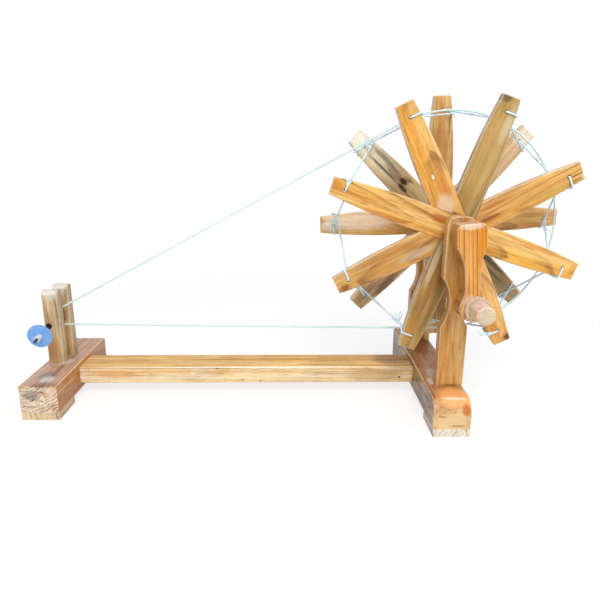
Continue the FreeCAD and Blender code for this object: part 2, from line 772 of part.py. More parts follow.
def ring(middle, radius, up, start, end, step):
    # points whose chords stay outside the circle, clockwise from start to end
    count = max(2, math.ceil((end - start) / step))
    half = math.radians((end - start) / count / 2)
    points = []
    for i in range(count + 1):
        turn = math.radians(start + (end - start) * i / count)
        spoke = Vector(1, 0, 0) * math.sin(turn) + up * math.cos(turn)
        points.append(middle + spoke * (radius / math.cos(half)))
    return points


groovePlane = Vector(0, -sine(tilt).number, cosine(tilt).number)
leave, meet = -(climb + spread), 180 - (climb - spread)
wheelStep, whorlStep, fullTurn = 12, 26, 360
bandRoute = ring(wheelMiddle, wheelRing, Vector(0, 0, 1), leave, meet, wheelStep)
bandRoute += ring(whorlMiddle, whorlRing, groovePlane, meet, fullTurn + leave, whorlStep)
spliceSpot = (bandRoute[-1] + bandRoute[0]) / 2
bandRoute, bandLong = addTied("drive_band", [spliceSpot] + bandRoute + [spliceSpot],
                              bandThick, number("splice"))
print("drive band:", round(bandLong), "mm long, ratio of wheel to whorl",
      round(wheelRing / whorlRing, 3))


print("knob turns about x", round(knobX.number - originX.number, 3), "z",
      round(knobZ.number, 3))


# Checks, then one file for each piece

doc.recompute()
for thing in doc.Objects:
    if "Invalid" in thing.State or "Error" in thing.State:
        raise RuntimeError(f"{thing.Label} failed to build")
pieces = [o for o in doc.Objects if o.isDerivedFrom("PartDesign::Body") or o.TypeId == "Part::Feature"]
for piece in pieces:
    if piece.Shape.isNull() or not piece.Shape.isValid() or len(piece.Shape.Solids) != 1:
        raise RuntimeError(f"{piece.Label} is not a sound solid")
os.makedirs("parts", exist_ok=True)
for piece in pieces:
    piece.Shape.exportStep(f"parts/{piece.Label}.step")
whole = Part.makeCompound([piece.Shape for piece in pieces]).BoundBox
print(len(pieces), "pieces,", *(round(v, 2) for v in (whole.XMin, whole.XMax, whole.YMin,
                                                       whole.YMax, whole.ZMin, whole.ZMax)))
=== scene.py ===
import math

import bmesh
import bpy
from mathutils import Matrix, Quaternion, Vector


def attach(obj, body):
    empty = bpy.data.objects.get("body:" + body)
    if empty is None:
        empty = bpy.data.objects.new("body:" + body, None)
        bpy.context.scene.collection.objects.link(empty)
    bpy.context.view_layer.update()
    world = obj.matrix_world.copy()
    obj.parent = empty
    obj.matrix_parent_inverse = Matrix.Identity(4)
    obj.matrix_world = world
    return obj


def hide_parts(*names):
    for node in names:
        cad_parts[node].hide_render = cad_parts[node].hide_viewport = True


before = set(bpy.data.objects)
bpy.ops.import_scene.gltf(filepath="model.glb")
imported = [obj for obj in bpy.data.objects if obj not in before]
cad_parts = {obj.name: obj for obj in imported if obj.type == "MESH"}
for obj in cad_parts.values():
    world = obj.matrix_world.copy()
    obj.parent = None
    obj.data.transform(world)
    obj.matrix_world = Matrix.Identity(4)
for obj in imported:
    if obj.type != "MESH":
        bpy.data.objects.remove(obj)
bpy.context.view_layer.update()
scene = bpy.context.scene
scene.view_settings.view_transform = "Standard"
print("frame loaded,", len(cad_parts), "nodes")

mm = 0.001

# the places that the extra pieces are set out from, in metres
axleSpot = Vector((0.12421, 0, 0.1548))
whorlSpot = Vector((-0.21779, 0.01315, 0.0677))
spindleTilt = math.radians(9)


# shader helpers

class Wire:  # a socket that takes part in sums
    def __init__(self, finish, socket):
        self.finish, self.socket = finish, socket

    def maths(self, operation, *values):
        return self.finish.node("ShaderNodeMath", {"operation": operation},
                                dict(enumerate(values)))

    def __add__(self, other):
        return self.maths("ADD", self, other)

    def __sub__(self, other):
        return self.maths("SUBTRACT", self, other)

    def __mul__(self, other):
        return self.maths("MULTIPLY", self, other)

    def __truediv__(self, other):
        return self.maths("DIVIDE", self, other)

    def __pow__(self, other):
        return self.maths("POWER", self, other)

    def __rsub__(self, other):
        return self.maths("SUBTRACT", other, self)

    def __gt__(self, other):
        return self.maths("GREATER_THAN", self, other)

    def __lt__(self, other):
        return self.maths("LESS_THAN", self, other)

    __radd__, __rmul__ = __add__, __mul__


class Finish:  # a node tree, and the one way in which nodes are added to it
    def __init__(self, tree):
        self.tree = tree
        tree.nodes.clear()

    def node(self, kind, settings=None, sockets=None, out=0):
        made = self.tree.nodes.new(kind)
        for name, value in (settings or {}).items():
            if name == "stops":
                ramp = made.color_ramp.elements
                while len(ramp) < len(value):
                    ramp.new(0.5)
                for stop, (place, colour) in zip(ramp, value):
                    stop.position, stop.color = place, (*colour, 1) if len(colour) == 3 else colour
            else:
                setattr(made, name, value)
        for name, value in (sockets or {}).items():
            if isinstance(value, Wire):
                self.tree.links.new(value.socket, made.inputs[name])
            else:
                made.inputs[name].default_value = value
        return Wire(self, made.outputs[out])

    def ramp(self, value, stops, blend="LINEAR"):
        made = self.node("ShaderNodeValToRGB", {"stops": stops}, {"Fac": value})
        made.socket.node.color_ramp.interpolation = blend
        return made

    def mix(self, share, first, second, blend="MIX"):
        return self.node("ShaderNodeMix", {"data_type": "RGBA", "blend_type": blend},
                         {0: share, 6: first, 7: second}, out=2)

    def noise(self, where, scale, detail=2, roughness=0.5, distortion=0):
        return self.node("ShaderNodeTexNoise", {},
                         {"Vector": where, "Scale": scale, "Detail": detail,
                          "Roughness": roughness, "Distortion": distortion})

    def parts(self, vector):
        split = self.node("ShaderNodeSeparateXYZ", {}, {"Vector": vector})
        return [Wire(self, out) for out in split.socket.node.outputs]

    def join(self, x, y, z):
        return self.node("ShaderNodeCombineXYZ", {}, {"X": x, "Y": y, "Z": z})

    def vectors(self, operation, first, second=None, out=0):
        sockets = {0: first} if second is None else {0: first, 1: second}
        return self.node("ShaderNodeVectorMath", {"operation": operation}, sockets, out)

    def end(self, surface):
        out = self.tree.nodes.new("ShaderNodeOutputMaterial")
        self.tree.links.new(surface.socket, out.inputs["Surface"])


def newFinish(name):
    material = bpy.data.materials.new(name)
    material.use_nodes = True
    return material, Finish(material.node_tree)


def linear(code):  # a screen colour, written as six hex figures, as the shader wants it
    tones = [int(code[i:i + 2], 16) / 255 for i in (0, 2, 4)]
    return (*(t / 12.92 if t < 0.04045 else ((t + 0.055) / 1.055) ** 2.4 for t in tones), 1)


# varnished wood

woodLook = {
    "seed": 0.0, "pith": (9, -14), "tilt": 0.04,
    "ringWide": 4.2,       # mm from one ring to the next
    "ringWander": 1.1,     # share of a ring by which the figure wanders
    "ringDepth": 0.85, "fibreDepth": 0.75, "fleckDepth": 0.5,
    "blotch": 0.5, "mottle": 0.14, "light": 0.34, "deep": 0.72, "amber": "BE6A12",
    "streaks": (),         # (axis, place, width, tint, share): bands along the grain
    "spots": (),           # (centre, half sizes, tint, share, ragged): knots, stains and cracks, and some painted glare, highlights and shade
    "faces": (),           # (way it faces, least, tint, share): painted light and shade on faces turned one way
    # arris: the way across which rounded edges get a painted highlight in arrisTint
    "arris": None, "arrisTint": "F6E6CC", "arrisShare": 0.4,
    "coat": 0.22, "coatRough": 0.16, "rough": 0.4, "shine": 0.3,
}
woodFigure = {  # noise scales are per mm; "along" shares draw a pattern out along the grain
    "wander": {"along": 0.05, "scale": 0.09, "reach": 9},
    "bend": {"along": 0.025, "scale": 0.05, "reach": 10, "dip": 0.012},
    "fade": {"along": 0.06, "scale": 0.1},
    "fibre": {"along": 0.02, "across": 0.62},
    "fleck": {"along": 0.1, "across": 0.95},
    "broad": {"along": 0.09, "scale": 0.07},
    "patch": {"along": 0.16, "scale": 0.12},
    # noise that breaks up the painted light and shade on faces turned one way
    "faceLightNoise": {"along": 0.35, "scale": 0.11},
    "grit": {"scale": 0.55}, "mottle": {"scale": 0.03},
    "bumpStrength": 0.35, "bumpReach": 0.0005,
}


def greys(*stops):
    return [(place, (value,) * 3) for place, value in stops]


def woodTones(code, light, deep):
    base = Vector(linear(code)[:3])
    pale = base.lerp(Vector((1.0, 0.84, 0.42)), light)
    dark = base.lerp(Vector((0.13, 0.045, 0.008)), deep)
    return (*pale, 1), (*base, 1), (*dark, 1)


def varnishedWood(name, code, centre, along, **changes):
    look = {**woodLook, **changes}
    pale, mid, dark = woodTones(code, look["light"], look["deep"])
    seed, pith = look["seed"], look["pith"]
    material, f = newFinish(name)
    lengthways = Vector(along).normalized()
    side = Vector((0, 1, 0)) if abs(lengthways.y) < 0.9 else Vector((1, 0, 0))
    up = lengthways.cross(side).normalized()
    side = up.cross(lengthways)
    axes = Matrix((lengthways, side, up)).transposed()
    coords = f.node("ShaderNodeTexCoord", out=3)
    local = f.node("ShaderNodeMapping", {"vector_type": "TEXTURE"},
                   {"Vector": coords, "Location": centre, "Rotation": axes.to_euler(),
                    "Scale": (mm, mm, mm)})
    x, y, z = f.parts(local)
    facing = f.node("ShaderNodeTexCoord", out=1)

    def drawnOut(kind, shift=0.0):  # the local place, with its x shrunk so that a pattern is long
        return f.join(x * woodFigure[kind]["along"] + shift, y, z)

    # growth rings round a pith that leans away from the piece
    part = woodFigure["wander"]
    wander = f.noise(f.join(x * part["along"] + seed * 7.3, y + seed * 3.1, z - seed * 5.7),
                     part["scale"], 3, 0.55)
    sideways = (wander - 0.5) * part["reach"] - pith[0]
    part = woodFigure["bend"]
    bend = f.noise(f.join(x * part["along"] - seed, y, z + seed * 2), part["scale"], 2)
    upwards = (bend - 0.5) * part["reach"] - pith[1]
    cx = y - x * look["tilt"] + sideways
    cy = z + x * part["dip"] + upwards
    phase = ((cx * cx + cy * cy) ** 0.5) / look["ringWide"] + (wander - 0.5) * look["ringWander"]
    ring = phase.maths("FRACT", phase)
    late = f.ramp(ring, greys((0, 0.0), (0.55, 0.12), (0.78, 0.5), (0.88, 1), (0.96, 0.9),
                              (1, 0.0)))
    part = woodFigure["fade"]
    fade = f.ramp(f.noise(f.join(x * part["along"] - seed, y, z + seed), part["scale"], 2),
                  greys((0.36, 0.3), (0.6, 1)))

    # fibres, flecks and patches where the varnish lies thick
    part = woodFigure["fibre"]
    fibre = f.ramp(f.noise(f.join(x * part["along"] + seed * 9, y * part["across"],
                                  z * part["across"]), 1.0, 5, 0.72), greys((0.36, 0), (0.64, 1)))
    part = woodFigure["fleck"]
    fleck = f.ramp(f.noise(f.join(x * part["along"] - seed * 4, y * part["across"],
                                  z * part["across"]), 1.0, 2), greys((0.6, 0), (0.7, 1)))
    broad = f.ramp(f.noise(drawnOut("broad", seed * 11), woodFigure["broad"]["scale"], 3),
                   greys((0.38, 0), (0.62, 1)))
    patch = f.ramp(f.noise(drawnOut("patch", seed * -13), woodFigure["patch"]["scale"], 4, 0.65),
                   greys((0.5, 0), (0.64, 1)))
    grit = f.noise(local, woodFigure["grit"]["scale"], 4, 0.7)
    colour = f.mix(broad, pale, mid)
    colour = f.mix(patch * look["blotch"], colour, linear(look["amber"]))
    # painted light and shade: faces turned one way are made paler or darker, broken up by noise
    for way, least, tint, share in look["faces"]:
        turned = f.vectors("DOT_PRODUCT", facing, way, out=1)
        faceLightNoise = f.ramp(f.noise(drawnOut("faceLightNoise", seed), woodFigure["faceLightNoise"]["scale"], 4, 0.65),
                      greys((0.38, 0.45), (0.6, 1)))
        colour = f.mix((turned > least) * faceLightNoise * share, colour, linear(tint))
    depth = late * fade * look["ringDepth"] + (fibre - 0.42) * look["fibreDepth"]
    colour = f.mix(depth.maths("MAXIMUM", depth, 0.0), colour, dark)
    lift = depth.maths("MAXIMUM", depth * -1.6, 0.0)
    colour = f.mix(lift, colour, pale)
    colour = f.mix(fleck * look["fleckDepth"], colour, dark)
    for axis, place, wide, tint, share in look["streaks"]:
        near = ((x, y, z)[axis] - place + (wander - 0.5) * wide * 2.5) / wide
        band = f.ramp(near * near, greys((0.2, 1), (1, 0)), "EASE")
        colour = f.mix(band * (fibre * 0.6 + 0.5) * share, colour, linear(tint))
    # knots, stains and cracks, and also painted glare, highlights and shade where a look lists
    # them
    for spot, halves, tint, share, ragged in look["spots"]:
        shrunk = f.vectors("DIVIDE", f.vectors("SUBTRACT", local, spot), halves)
        far = f.vectors("LENGTH", shrunk, out=1)
        inside = f.ramp(far + (grit - 0.5) * ragged, greys((0.55, 1), (1, 0)))
        colour = f.mix(inside * share, colour, linear(tint))
    # painted highlight along the rounded edges, where a face turns between two flat ways
    if look["arris"]:
        turned = f.vectors("DOT_PRODUCT", facing, look["arris"], out=1)
        turned = turned.maths("ABSOLUTE", turned)
        edgeHighlight = (turned > 0.4) * (turned < 0.92) * f.ramp(grit, greys((0.4, 0.3), (0.55, 1)))
        colour = f.mix(edgeHighlight * look["arrisShare"], colour, linear(look["arrisTint"]))
    mottle = f.ramp(f.noise(local, woodFigure["mottle"]["scale"], 3, 0.6),
                    greys((0.35, 1 - look["mottle"]), (0.62, 1)))
    colour = f.mix(1.0, colour, mottle, "MULTIPLY")
    bump = f.node("ShaderNodeBump", {}, {
        "Height": late * 0.3 + fibre * 0.45 + grit * 0.6,
        "Strength": woodFigure["bumpStrength"], "Distance": woodFigure["bumpReach"]})
    f.end(f.node("ShaderNodeBsdfPrincipled", {}, {
        "Base Color": colour, "Roughness": fibre * 0.14 + look["rough"], "Normal": bump,
        "Specular IOR Level": look["shine"], "Coat Weight": look["coat"],
        "Coat Roughness": look["coatRough"]}))
    return material


def finishNode(node, material):
    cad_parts[node].material_slots[0].material = material


# local places are mm along the grain, then mm to the side, then mm up across both
feet = {
    "left_foot": {
        "middle": (-0.21059, 0, 0.018), "code": "C67E38", "pith": (-12, -38), "tilt": 0.02,
        "ringWide": 3.4, "ringDepth": 1.15, "seed": 0.1, "blotch": 0.3,
        # painted light and shade: a pinkish brown top with some grey glare, a pale front end and a
        # darker orange side facing +X
        "faces": (((0, 0, 1), 0.8, "B47E60", 0.9), ((0, 0, 1), 0.8, "E4DEDC", 0.3),
                  ((0, -1, 0), 0.8, "FBF1DC", 0.9), ((1, 0, 0), 0.8, "AA5C0C", 0.9)),
        # the grey and white spots are painted glare
        "spots": (((-31, -1, -12), (11, 8, 6), "77727C", 0.75, 0.9),
                  ((-38, 2, -12), (8, 7, 4), "EDE9EA", 0.5, 1.0),
                  ((2, -2, -12), (9, 13, 4), "EFE7DF", 0.6, 0.9),
                  ((-49, 4, -12), (6, 12, 3), "5E2D12", 0.5, 0.8),
                  ((-52, -6, -4), (5, 8, 5), "6F7478", 0.6, 0.9),
                  ((20, 14, -5), (18, 4, 12), "C67A22", 0.4, 0.8))},
    "right_foot": {
        "middle": (0.11985, 0, 0.018), "code": "C07A34", "pith": (5, 16), "tilt": 0.05,
        "ringWide": 4.2, "ringDepth": 0.7, "seed": 0.55, "blotch": 0.5,
        # painted reflection: a pinkish tint on the top; painted shade: the side facing -X darkened
        "faces": (((0, 0, 1), 0.9, "92523A", 0.75), ((-1, 0, 0), 0.8, "3C2008", 1.0)),
        "spots": (((-72, 3, -12), (20, 17, 9), "FAB46C", 0.85, 0.5),
                  ((-80, 0, 6), (6, 22, 13), "ECCF9A", 0.65, 0.7),
                  ((-80, 10, -4), (6, 4, 6), "BC600A", 0.85, 0.9),
                  ((-80, -9, 1), (6, 3.4, 1), "7A4A22", 0.6, 1.0),
                  ((-80, 4, 9), (6, 8, 1), "8A4E1C", 0.6, 1.0),
                  # a painted highlight strip along the toe's round, then painted glare in two pale
                  # spots on the top
                  ((-74, 2, -9), (2.2, 15, 3), "FFF3E2", 0.75, 0.7),
                  ((-28, -4, -12), (14, 7, 3), "E8DCE4", 0.35, 0.9),
                  ((-44, -9, -12), (9, 4, 3), "F0DED0", 0.6, 0.9),
                  ((40, 0, -12), (26, 14, 4), "6A3416", 0.5, 0.9))},
}
for node, look in feet.items():
    look = dict(look)
    middle, code = look.pop("middle"), look.pop("code")
    finishNode(node, varnishedWood(node + " wood", code, middle, (0, 1, 0), arris=(1, 0, 0),
                                   coat=0.35, **look))
pads = {"left_front_pad": "E2CBA2", "left_rear_pad": "B98552", "right_front_pad": "F0E8DE",
        "right_rear_pad": "8E6448"}
for i, (node, code) in enumerate(pads.items()):
    finishNode(node, varnishedWood(node + " wood", code, (0, 0, 0), (0, 1, 0), pith=(4, -30),
                                   # painted shade: both sides of each pad are darkened
                                   seed=1.3 + i, faces=(((1, 0, 0), 0.8, "9A7B60", 0.7),
                                                        ((-1, 0, 0), 0.8, "7A5E4A", 0.7))))
finishNode("beam", varnishedWood(
    "beam wood", "F7C87C", (-0.0447, 0.0126, 0.0185), (1, 0, 0), pith=(-8, 24), seed=2.2,
    ringWide=3.4, blotch=0.5, amber="DC963E", ringDepth=0.6, arris=(0, 0, 1), tilt=0.02,
    # painted light: the front face is made paler
    faces=(((0, -1, 0), 0.8, "F6EAD0", 0.65),),
    streaks=((2, -2.2, 1.6, "FBF3DE", 0.3), (2, 3.2, 0.9, "D9A050", 0.5),
             (1, 2, 2.0, "C06A16", 0.6), (1, -8, 1.2, "F7DCA8", 0.5), (1, 9, 1.6, "B8621A", 0.5)),
    coat=0.0, shine=0.12,
    spots=(((137.4, -15.4, -2.5), (1.5, 3, 1.2), "2A1608", 0.95, 0.2),
           # a painted highlight along the top front edge
           ((0, -15.4, 7.65), (170, 1.2, 1.1), "FFFBEF", 0.8, 0.5),
           ((-148, -15, 0), (3, 6, 9), "FFFDF4", 0.2, 0.9),
           ((-27.2, -15.4, 6.2), (1.2, 3, 0.9), "3A2210", 0.9, 0.3),
           ((11.4, -15.4, -6), (1.1, 3, 0.9), "6A4422", 0.8, 0.4),
           ((-5, -15.4, -4.6), (2.4, 3, 1), "C07A3A", 0.6, 0.8),
           ((-49, -15.4, 1.4), (3.4, 3, 1.3), "FFFBF0", 0.8, 0.7),
           ((-120, -15, 1), (26, 6, 5), "E0923C", 0.5, 0.8),
           ((112, -15, -1), (34, 6, 8), "B8905C", 0.55, 0.8),
           ((132, 4, 7.7), (22, 16, 3), "8A6048", 0.6, 0.9))))
for node, y, seed in (("front_wheel_post", -0.0486, 3.1), ("rear_wheel_post", 0.0626, 3.9)):
    finishNode(node, varnishedWood(
        node + " wood", "CC8A30", (0.1237, y, 0.1), (0, 0, 1), pith=(26, 5), seed=seed,
        ringWide=3.4, blotch=0.6, amber="C67A22", arris=(0, 1, 0),
        # painted light: the faces turned to -X are made paler
        faces=(((-1, 0, 0), 0.5, "B88A50", 0.5),),
        spots=(((60, 0, 4), (14, 9, 7), "F0E2CC", 0.3, 0.9),
               ((-69, 0, 0), (1.4, 9, 12), "5E2E10", 0.8, 0.8),
               ((25, 0, 8), (34, 9, 3), "8E7A46", 0.45, 0.7))))
for node, y, seed, code in (("front_spindle_post", 0.0023, 4.3, "D2B68A"),
                            ("rear_spindle_post", 0.0245, 5.2, "CBAC80")):
    finishNode(node, varnishedWood(
        node + " wood", code, (-0.2141, y, 0.06), (0, 0, 1), pith=(18, 4), seed=seed, ringWide=2.6,
        ringDepth=0.75, arris=(0, 1, 0), light=0.5,
        # painted highlight on the domed tops, painted shade on the sides facing +X
        faces=(((0, 0, 1), 0.3, "F4F2EE", 0.95), ((1, 0, 0), 0.6, "7E6A50", 0.5)),
        spots=(((35, -4, 0), (9, 6, 7), "DCDCD4", 0.6, 1.0),
               ((-14, -4, 1), (18, 6, 6), "C8822C", 0.5, 0.9),
               ((-32, -4, 2), (5, 6, 5), "8E4A1E", 0.5, 0.9))))
print("frame woods done")

# spokes: the grain runs along each plank, whatever its angle

# sideGlareTint is a painted reflection on both long edges of every plank
spokes = {"frontAngle": 19, "rearAngle": -2, "step": 45, "sideGlareTint": "E6E2DA"}
# spokes are numbered clockwise from the top, F in front and R behind, and each plank has two:
# a spot's first number is positive towards the first one named, negative towards the other
plankLooks = {
    "front_1": {"code": "EBAC44", "pith": (13, -5), "tilt": 0.11, "ringWide": 4.4,  # F3 and F7
                "spots": (((-15.5, -3.5, 3.5), (10, 2, 4), "B4560E", 0.75, 0.8),
                          ((-101, 0, 2), (6, 9, 8), "D07A1E", 0.5, 0.9),
                          ((-60, -3.5, -8.5), (34, 3, 2.2), "B8650F", 0.6, 0.7),
                          ((70, -3.5, 8), (30, 3, 2.4), "C9771C", 0.5, 0.8),
                          ((101, 0, 0), (4, 9, 8), "C87A20", 0.5, 0.9))},
    "front_2": {"code": "E29E3A", "pith": (15, 3), "tilt": -0.1, "ringWide": 5.0,  # F4 and F8
                "spots": (((-45.4, -3.6, -1.4), (4.6, 1.6, 2.6), "B4701E", 0.6, 0.8),
                          ((-45.4, -3.6, -1.4), (2.6, 1.4, 1.4), "F8E6C6", 0.85, 0.6),
                          ((-34, -3.6, 3), (14, 3, 4), "D07418", 0.5, 0.8),
                          ((-22, -3.6, 0), (10, 3, 8), "EFE0CC", 0.4, 0.9),
                          ((101, 0, 5), (5, 9, 5), "5E1408", 0.9, 0.8),
                          ((80, -3.6, -2), (20, 3, 4), "C06A16", 0.5, 0.8))},
    "front_3": {"code": "A07424", "pith": (16, -3), "tilt": 0.03, "ringWide": 5.6,  # F5 and F1
                "amber": "86681F", "light": 0.22,
                "spots": (((-60, -3.6, 0), (44, 3, 11), "C6A462", 0.45, 0.8),
                          ((60, -3.6, 0), (44, 3, 12), "96641A", 0.35, 0.8),
                          ((-102, 0, -4), (5, 9, 6), "4E4428", 0.75, 0.9),
                          ((-84, -3.6, 5), (18, 3, 4), "CDBFA0", 0.5, 0.8),
                          ((52, -3.6, 6), (34, 3, 3.5), "7A5E2C", 0.6, 0.8),
                          ((86, -3.6, -3), (16, 3, 6), "C28424", 0.5, 0.8),
                          ((30, -3.6, -6), (24, 3, 3), "E8DCC4", 0.4, 0.8))},
    "front_4": {"code": "D6983E", "pith": (12, 6), "tilt": 0.09, "ringWide": 3.9,  # F6 and F2
                "spots": (((-66, -3.6, 0), (40, 3, 11), "EDB456", 0.3, 0.8),
                          ((60, -3.6, 0), (44, 3, 12), "A87A34", 0.35, 0.8),
                          ((-27.3, -3.6, 3), (12, 3, 1.8), "8E2E0A", 0.8, 0.8),
                          ((-34, -3.6, -5), (18, 3, 2), "B0560E", 0.6, 0.8),
                          ((-80, -3.6, 5), (26, 3, 3), "9C8A3C", 0.45, 0.8),
                          ((98, 0, 5), (7, 9, 5), "6E340E", 0.8, 0.9),
                          ((-99, 0, 1.2), (9, 9, 0.7), "5E2E10", 0.85, 0.3),
                          ((-103, 0, 4), (3, 9, 3), "F2DDB6", 0.6, 0.6),
                          ((60, -3.6, -6), (36, 3, 3.4), "B4712A", 0.55, 0.8),
                          ((35, -3.6, 4), (20, 3, 4), "C9C2A8", 0.45, 0.9))},
    "rear_1": {"code": "DEAC62", "pith": (14, -7), "tilt": 0.05, "ringWide": 4.2,  # R3 and R7
               "spots": (((-104, 0, 4), (2, 9, 10), "A8481A", 0.75, 0.8),
                         ((-92, -3.6, 0), (12, 3, 8), "DCE4E0", 0.55, 0.9),
                         ((-66, -3.6, 2), (36, 3, 9), "F6E0C4", 0.7, 0.9),
                         ((104, 0, -2), (2.5, 9, 10), "9A4E1C", 0.7, 0.8),
                         ((70, -3.6, 3), (24, 3, 4), "C48A44", 0.5, 0.8))},
    "rear_2": {"code": "D4B684", "pith": (13, 5), "tilt": 0.1, "ringWide": 3.2, "ringDepth": 0.9,
               "spots": (((-76, -3.6, 0), (36, 3, 11), "F0E2C2", 0.7, 0.8),  # R4 and R8
                         ((70, -3.6, 2), (44, 3, 11), "806A40", 0.7, 0.8),
                         ((-98, -3.6, 0), (12, 3, 9), "F4F2E2", 0.8, 0.8),
                         ((-72, -3.6, 5), (20, 3, 2.4), "6A6A62", 0.7, 0.8),
                         ((-66, -3.6, -2), (22, 3, 1.4), "4A4438", 0.8, 0.8),
                         ((-56, -3.6, 2), (14, 3, 4), "7A4E26", 0.6, 0.9),
                         ((-47, -3.6, 2.4), (4.6, 3, 3.2), "4A1E0C", 0.95, 0.6),
                         ((-44, -3.6, -2), (7, 3, 2.2), "2A120A", 0.9, 0.8),
                         ((58, -3.6, 7), (26, 3, 2.6), "3C3424", 0.8, 0.8),
                         ((66, -3.6, 1), (26, 3, 1.6), "4C4230", 0.7, 0.8),
                         ((92, -3.6, 0), (14, 3, 5), "9C9484", 0.35, 0.9))},
    "rear_3": {"code": "D09A50", "pith": (12, -2), "tilt": 0.06, "ringWide": 4.8,  # R5 and R1
               "spots": (((-40, -3.6, -8), (60, 3, 2.4), "9A8A5C", 0.5, 0.7),
                         ((-50, -3.6, 3), (26, 3, 4), "C88E3C", 0.5, 0.8),
                         # painted shade: R5 darkened along most of its length
                         ((56, 0, 0), (46, 9, 12), "5E4228", 0.75, 0.8))},
    "rear_4": {"code": "E0BC8E", "pith": (15, 8), "tilt": 0.03, "ringWide": 4.6,  # R6 and R2
               "spots": (((-98, -3.6, 0), (12, 3, 9), "EFEADA", 0.7, 0.8),
                         # painted shade on R6 near the hub
                         ((34, -3.6, 0), (30, 3, 12), "4A2E18", 0.7, 0.8),
                         ((-70, -3.6, 0), (26, 3, 8), "EFCBA2", 0.5, 0.9),
                         ((72, 0, 6), (22, 9, 5), "5A3A28", 0.75, 0.9),
                         ((90, 0, -2), (18, 9, 6), "8A6A50", 0.7, 0.9))},
}
for rank in range(4):
    for side in ("front", "rear"):
        angle = math.radians(spokes[side + "Angle"] + 90 + spokes["step"] * rank)
        along = (math.sin(angle), 0, math.cos(angle))
        left = (-math.cos(angle), 0, math.sin(angle))
        look = dict(plankLooks[f"{side}_{rank + 1}"])
        # painted reflection on both side faces of the plank
        look["faces"] = tuple((tuple(c * way for c in left), 0.8, spokes["sideGlareTint"], 0.8)
                              for way in (-1, 1))
        finishNode(f"{side}_spoke_plank_{rank + 1}", varnishedWood(
            f"{side} spoke {rank + 1} wood", look.pop("code"),
            (axleSpot.x, -0.033 if side == "front" else 0.0206, axleSpot.z), along,
            seed=6.1 + rank * 1.7 + (0.8 if side == "rear" else 0), arris=(0, 1, 0), **look))
# the dark hub colour is painted shade, for the hub in shadow between the spokes
finishNode("hub_block", varnishedWood("hub wood", "5E381C", axleSpot, (0, 1, 0), seed=9.4))
for i, node in enumerate(["front_spacer", "rear_spacer", "crank_spacer"]):
    finishNode(node, varnishedWood(node + " wood", "8E5C36", axleSpot, (0, 1, 0), seed=10 + i))
crank = {"lean": math.radians(-5.4), "knob": Vector((0.132776, -0.084, 0.101369))}
finishNode("crank_arm", varnishedWood(
    "crank wood", "DC8A16", (0.1277, -0.066, 0.1274),
    (math.sin(crank["lean"]), 0, math.cos(crank["lean"])), pith=(0, 62), tilt=0.0, seed=12.6,
    ringWide=3.5, ringWander=0.3, ringDepth=1.5, fibreDepth=0.5, blotch=0.2, amber="C8741C",
    # painted highlight on the top, painted shade on the side facing -X
    light=0.2, arris=(0, 1, 0), faces=(((0, 0, 1), 0.6, "F4E2CC", 0.7),
                                       ((-1, 0, 0), 0.5, "8A5420", 0.55)),
    spots=(((35, -7.2, 0), (3, 3, 10), "F6E6D4", 0.5, 0.9),
           ((-24, -7.2, 2), (10, 3, 7), "F3D6B4", 0.65, 0.9),
           ((-34, -7.2, -2), (6, 3, 9), "F0D9C6", 0.7, 0.9))))
finishNode("crank_knob", varnishedWood(
    "knob wood", "DDB698", crank["knob"], (0, 1, 0), pith=(3, -4), seed=13.2, ringWide=2.0,
    light=0.45, blotch=0.25, ringDepth=0.35, coat=0.4,
    # the end face takes a greyer tint; a painted highlight on the top
    faces=(((0, -1, 0), 0.9, "D0C4AC", 0.9), ((0, 0, 1), 0.4, "F2E6E0", 0.6)),
    fibreDepth=0.3, fleckDepth=0.25))
finishNode("whorl", varnishedWood("whorl wood", "8E6238", whorlSpot, (0, 1, 0), seed=14.8))
print("wheel woods done")


# steel, plastics and thread

def drawnSteel(name, dull, bright):
    material, f = newFinish(name)
    coords = f.node("ShaderNodeTexCoord", out=3)
    lines = f.noise(f.node("ShaderNodeMapping", {}, {"Vector": coords, "Scale": (900, 40, 900)}),
                    1, 3)
    tone = f.mix(lines, (dull,) * 3 + (1,), (bright,) * 3 + (1,))
    f.end(f.node("ShaderNodeBsdfPrincipled", {}, {
        "Base Color": tone, "Metallic": 1.0, "Roughness": 0.28 + lines * 0.2}))
    return material


def softPlastic(name, tone, shade, rough, clear=0.0, scale=220):
    material, f = newFinish(name)
    coords = f.node("ShaderNodeTexCoord", out=3)
    cloud = f.noise(coords, scale, 3)
    colour = f.mix(cloud, tone, shade)
    bump = f.node("ShaderNodeBump", {}, {"Height": f.noise(coords, scale * 6, 2),
                                         "Strength": 0.12, "Distance": 0.0002})
    f.end(f.node("ShaderNodeBsdfPrincipled", {}, {
        "Base Color": colour, "Roughness": rough + cloud * 0.1, "Normal": bump,
        "Transmission Weight": clear, "IOR": 1.45}))
    return material


steel = drawnSteel("drawn steel", 0.17, 0.34)
for node in ("axle", "knob_pin"):
    finishNode(node, steel)
finishNode("spindle_rod", drawnSteel("blackened steel", 0.05, 0.14))
blackPlastic = softPlastic("bush plastic", linear("1C1B1D"), linear("2E2C2E"), 0.4)
for node in ("front_spindle_bush", "rear_spindle_bush"):
    finishNode(node, blackPlastic)
finishNode("yarn_disc", softPlastic("disc plastic", linear("66A8F2"), linear("96C8FA"), 0.22,
                                    clear=0.25))
finishNode("disc_sleeve", softPlastic("sleeve plastic", linear("E4E8EE"), linear("C9CED8"), 0.4))


